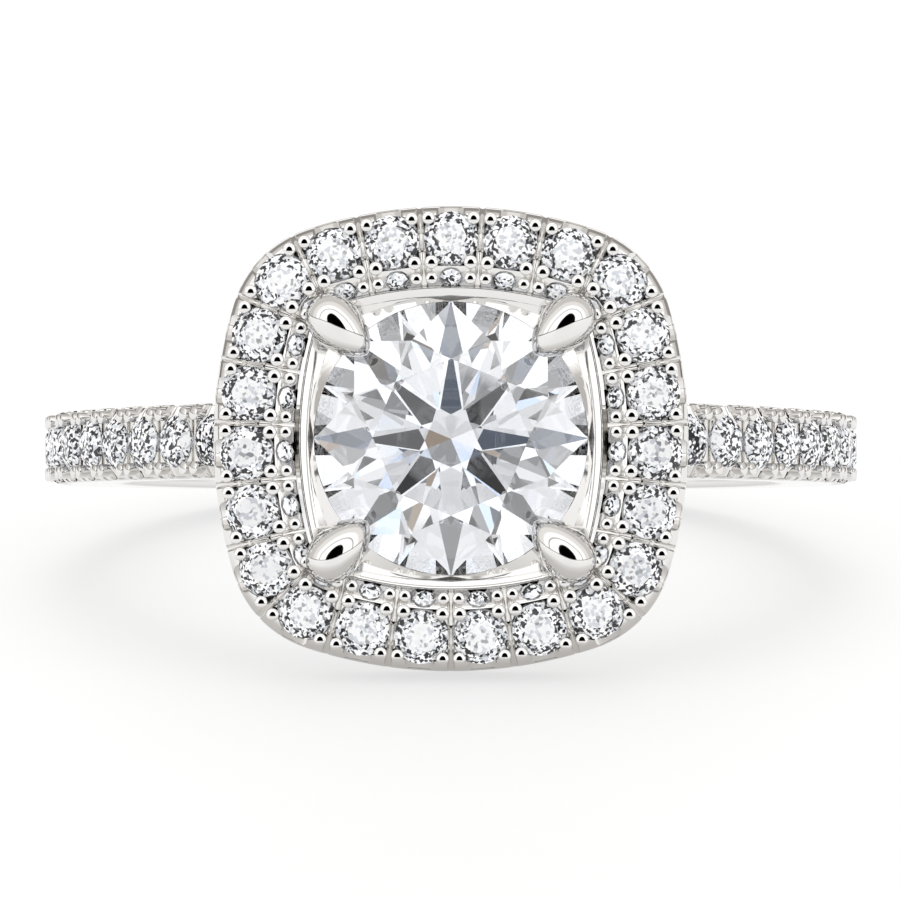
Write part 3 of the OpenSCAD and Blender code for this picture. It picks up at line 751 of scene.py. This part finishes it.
def small_diamond_finish(name, painted_glow):
    """Small clear stone with painted light on its crown: some facet cells are painted as glowing white
    glints, some are painted black as painted shade, and the rest is clear glass.
    """
    made, tree = new_material(name)
    place = put(tree, "ShaderNodeTexCoord", {}, {}).outputs["Object"]
    facet = put(tree, "ShaderNodeNewGeometry", {}, {}).outputs["True Normal"]
    spread = put(tree, "ShaderNodeVectorMath", {"operation": "SCALE"}, {0: place, "Scale": cells_per_metre})
    spread = put(tree, "ShaderNodeVectorMath", {"operation": "MULTIPLY_ADD"},
                 {0: facet, 1: (9, 9, 9), 2: spread.outputs[0]})
    cells = put(tree, "ShaderNodeTexVoronoi", {}, {"Vector": spread.outputs[0], "Scale": 1.0})
    chance = put(tree, "ShaderNodeSeparateColor", {}, {"Color": cells.outputs["Color"]}).outputs
    first, second = Signal(tree, chance["Red"]), Signal(tree, chance["Green"])
    level = Signal(tree, put(tree, "ShaderNodeVectorMath", {"operation": "DOT_PRODUCT"},
                             {0: facet, 1: head_axis}).outputs["Value"])
    crown = level.reckon("GREATER_THAN", crown_level)
    slanting = level.reckon("LESS_THAN", table_level) * crown
    table = crown - slanting

    # Of the cells on slanting facets, 55 in 100 get a painted glint and 37 are painted black as painted
    # shade. The table mostly gets the painted glint.
    dark = first.reckon("GREATER_THAN", 0.63) * slanting + first.reckon("GREATER_THAN", 0.9) * table * 0.6
    painted_glint = first.reckon("LESS_THAN", 0.55) * slanting * 0.85 + table * 0.66
    painted_glint_colour = colour_between(tree, second.reckon("GREATER_THAN", 0.72), (0.95, 0.955, 0.965), (0.62, 0.65, 0.7))
    # The glint cells are a painted highlight: a pale colour that also glows with its own emission.
    painted_glint_shader = put(tree, "ShaderNodeBsdfPrincipled", {}, {
        "Base Color": painted_glint_colour, "Roughness": 0.08, "Emission Color": painted_glint_colour, "Emission Strength": painted_glow})
    # The near-black surface on the dark cells is painted shade, standing in for facets that return no light.
    shade = put(tree, "ShaderNodeBsdfPrincipled", {},
                {"Base Color": (0.02, 0.02, 0.025, 1), "Roughness": 0.05})
    glass_or_painted_glint = mixed_shader(tree, painted_glint, clear_stone(tree), painted_glint_shader.outputs[0])
    surface = mixed_shader(tree, dark * 0.93, glass_or_painted_glint, shade.outputs[0])
    put(tree, "ShaderNodeOutputMaterial", {}, {"Surface": surface})
    return made


# The inner stones sit in the inner wall's shade, so they get a stronger painted glow.
small_diamond = small_diamond_finish("small_diamond", 0.38)
inner_diamond = small_diamond_finish("inner_diamond", 0.62)


def round_brilliant(name, d, sides):
    """A round brilliant of 57 facets, cut plane by plane out of a cylinder so that its girdle stays round."""
    r, g = d / 2, girdle(d)
    t_r, t_z = table_r(d), table_z(d)
    star_r = (t_r * math.cos(math.pi / 8) + r) / 2
    star_z = t_z - (star_r * math.cos(math.pi / 8) - t_r) * (t_z - g) / (r - t_r)
    half_r, half_z = lower_facets(d)

    def at(radius, eighths, z):
        return Vector((radius * math.cos(eighths * math.pi / 4), radius * math.sin(eighths * math.pi / 4), z))

    cuts = [(at(t_r, 0, t_z), at(t_r, 1, t_z), at(t_r, 2, t_z))]
    for k in range(8):
        cuts += [
            (at(t_r, k, t_z), at(t_r, k + 1, t_z), at(star_r, k + 0.5, star_z)),
            (at(t_r, k, t_z), at(star_r, k - 0.5, star_z), at(star_r, k + 0.5, star_z)),
            (at(star_r, k + 0.5, star_z), at(r, k, g), at(r, k + 0.5, g)),
            (at(star_r, k + 0.5, star_z), at(r, k + 0.5, g), at(r, k + 1, g)),
            (at(half_r, k + 0.5, half_z), at(r, k, -g), at(r, k + 0.5, -g)),
            (at(half_r, k + 0.5, half_z), at(r, k + 0.5, -g), at(r, k + 1, -g)),
            (at(0, 0, culet_z(d)), at(half_r, k - 0.5, half_z), at(half_r, k + 0.5, half_z))]
    blank = rod(name, r, culet_z(d) - 1, t_z + 1, sides)
    bm = bmesh.new()
    bm.from_mesh(blank.data)
    for a, b, c in cuts:
        normal = (b - a).cross(c - a).normalized()
        if normal.dot(a) < 0:
            normal.negate()
        cut = bmesh.ops.bisect_plane(bm, geom=bm.verts[:] + bm.edges[:] + bm.faces[:], dist=1e-6,
                                     plane_co=a, plane_no=normal, clear_outer=True)
        edges = [e for e in cut["geom_cut"] if isinstance(e, bmesh.types.BMEdge)]
        bmesh.ops.contextual_create(bm, geom=edges)
    bmesh.ops.remove_doubles(bm, verts=bm.verts, dist=1e-5)
    bmesh.ops.recalc_face_normals(bm, faces=bm.faces)
    bm.to_mesh(blank.data)
    bm.free()
    return blank


centre = round_brilliant("centre_brilliant", centre_d, 128)
centre.data.transform(Matrix.Translation((0, 0, centre_z)))
centre.data.transform(lying)
centre.data.shade_flat()
centre.data.materials.clear()
centre.data.materials.append(diamond)
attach(centre, "root")
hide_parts("centre_stone")
for name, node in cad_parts.items():
    if "stone" in name and name != "centre_stone":
        node.data.materials.clear()
        node.data.materials.append(inner_diamond if name == "inner_stones" else small_diamond)

# Floor, light and camera
# A white table under a white tent. The tent has a dark opening in front, thin seams between its panels, and
# grey panels further round, which the polished metal mirrors as its dark spots and outlines.


def length_of(a, b):
    square = a * a + b * b
    return square.reckon("SQRT")


def between(value, low, high, soft):
    """1 where the value lies between two bounds, fading over a width."""
    up, down = (value - low) / soft + 0.5, (high - value) / soft + 0.5
    return up.reckon("MINIMUM", 1).reckon("MAXIMUM", 0) * down.reckon("MINIMUM", 1).reckon("MAXIMUM", 0)


def parts_of(tree, vector):
    return [Signal(tree, part) for part in put(tree, "ShaderNodeSeparateXYZ", {}, {"Vector": vector}).outputs]


floor = mesh_object("floor", [(-1.5, -1.5, 0), (1.5, -1.5, 0), (1.5, 1.5, 0), (-1.5, 1.5, 0)], [(0, 1, 2, 3)])
table_top, tree = new_material("table_top")
place = put(tree, "ShaderNodeTexCoord", {}, {}).outputs["Object"]
paper = put(tree, "ShaderNodeBsdfPrincipled", {}, {
    "Base Color": (0.24, 0.24, 0.24, 1), "Roughness": 0.55 + noise(tree, place, 30.0) * 0.1,
    "Specular IOR Level": 0.2, "Emission Color": (1, 1, 1, 1), "Emission Strength": 0.7})

# Painted shadow: close under the head, rays mirrored off the metal see a darker table, so the metal's lower
# faces mirror a painted shade where the head shades the table.
shade_x, shade_y, shade_middle = 0.011, 0.007, -0.0095
x, y, z = parts_of(tree, place)
near = length_of(x / shade_x, (y - shade_middle) / shade_y)
mirrored = Signal(tree, put(tree, "ShaderNodeLightPath", {}, {}).outputs["Is Glossy Ray"])
# A darker table surface that glows dimly: the painted shadow that only the metal's reflections see.
painted_shadow = put(tree, "ShaderNodeBsdfPrincipled", {}, {
    "Base Color": (0.2, 0.2, 0.2, 1), "Roughness": 0.6, "Specular IOR Level": 0.2,
    "Emission Color": (1, 0.97, 0.94, 1), "Emission Strength": 0.47})
surface = mixed_shader(tree, mirrored * between(near, -1, 1, 0.7), paper.outputs[0], painted_shadow.outputs[0])
put(tree, "ShaderNodeOutputMaterial", {}, {"Surface": surface})
floor.data.materials.append(table_top)

# A broad soft lamp above and behind throws the faint shadow in front of the halo. The metal and the stones
# don't show it.
lamp = bpy.data.objects.new("soft_lamp", bpy.data.lights.new("soft_lamp", "SUN"))
lamp.data.energy, lamp.data.angle = 1.5, math.radians(50)
lamp.visible_glossy = lamp.visible_transmission = False
lamp.rotation_euler = Vector((0, -0.5, -0.87)).to_track_quat("-Z", "Y").to_euler()
bpy.context.scene.collection.objects.link(lamp)

# What the metal mirrors. Lean is the tangent of how far a polished face leans when it mirrors a direction to
# the front: a face that lies square shows the opening, and steeper ones the seams and panels round it.
world = bpy.data.worlds.new("tent")
bpy.context.scene.world = world
world.use_nodes = True
tree = world.node_tree
tree.nodes.clear()
way = put(tree, "ShaderNodeTexCoord", {}, {}).outputs["Generated"]
x, y, z = parts_of(tree, way)
ahead = 1 - y
across, above = x / ahead, z / ahead
rise = z.reckon("ARCSINE")
lean = length_of(across, above)
opening_w, opening_h = 0.22, 0.32
opening = between(length_of(across / opening_w, above / opening_h), -1, 1, 0.06) * between(rise, 0, 2, 0.01)
horizon = between(rise, -0.2, 0.035, 0.012) * 0.92


def grey_ring(low, high, soft, darkness):
    """The part of the tent between two leans."""
    return between(lean, low, high, soft) * darkness


seam_and_panels = (grey_ring(0.46, 0.5, 0.012, 0.6) + grey_ring(0.66, 0.94, 0.1, 0.32)
                   + grey_ring(0.94, 1.5, 0.1, 0.5))
side_panels = grey_ring(1.5, 3.4, 0.25, 0.76)
far_wall = grey_ring(5.5, 1000, 1.5, 0.55)
dark = opening
for shade in (horizon, seam_and_panels * between(rise, 0.03, 2, 0.02), side_panels, far_wall):
    dark = dark.reckon("MAXIMUM", shade)
tent = put(tree, "ShaderNodeBackground", {}, {
    "Color": colour_between(tree, dark, (1, 1, 1), (1, 0.93, 0.86)), "Strength": (1 - dark) * 1.38})

# What the stones gather: the head-on view is dark, the tent's side is bright, and its low rim is broken up.
view_up = rest_tilt - math.radians(1.3)
out = Vector((0, -math.cos(view_up), math.sin(view_up)))
toward = Signal(tree, put(tree, "ShaderNodeVectorMath", {"operation": "DOT_PRODUCT"},
                          {0: way, 1: out}).outputs["Value"])
patches, tints = noise(tree, way, 7.0, 1.0), noise(tree, way, 7.0, 0.0)
gathered = 1.45 - between(toward, 0.965, 2, 0.02) * 1.22 - between(toward, -2, 0.45, 0.2) * 0.35
gathered = (gathered - between(patches, 0.535, 2, 0.03) * 0.95).reckon("MAXIMUM", 0.08)
cool = colour_between(tree, between(tints, -1, 0.32, 0.04), (1, 1, 1), (0.72, 0.83, 1))
fire = colour_between(tree, between(tints, 0.7, 2, 0.03), cool, (1, 0.82, 0.66))
sparkle = put(tree, "ShaderNodeBackground", {}, {"Color": fire, "Strength": gathered})

plain = put(tree, "ShaderNodeBackground", {}, {"Color": (1, 1, 1, 1), "Strength": 1.0})
rays = put(tree, "ShaderNodeLightPath", {}, {}).outputs
seen = mixed_shader(tree, rays["Is Transmission Ray"], tent.outputs[0], sparkle.outputs[0])
seen = mixed_shader(tree, rays["Is Camera Ray"], seen, plain.outputs[0])
put(tree, "ShaderNodeOutputWorld", {}, {"Surface": seen})

# The camera looks square at the head, a little from above.
camera = bpy.data.objects.new("camera", bpy.data.cameras.new("camera"))
camera.data.lens, camera.data.sensor_width = 229.2, 36
camera.data.clip_start, camera.data.clip_end = 0.005, 10
camera_away, aim_low, aim_left = 0.136, 0.000286, 0.000024
up = Vector((0, math.sin(view_up), math.cos(view_up)))
aim = lying @ Vector((0, 0, halo_z)) - up * aim_low - Vector((aim_left, 0, 0))
camera.location = aim + out * camera_away
camera.rotation_euler = (-out).to_track_quat("-Z", "Y").to_euler()
bpy.context.scene.collection.objects.link(camera)
bpy.context.scene.camera = camera
bpy.context.scene.view_settings.view_transform = "Standard"
cycles = bpy.context.scene.cycles
cycles.max_bounces = cycles.transmission_bounces = 16
cycles.glossy_bounces, cycles.diffuse_bounces = 5, 2
cycles.caustics_reflective = cycles.caustics_refractive = False
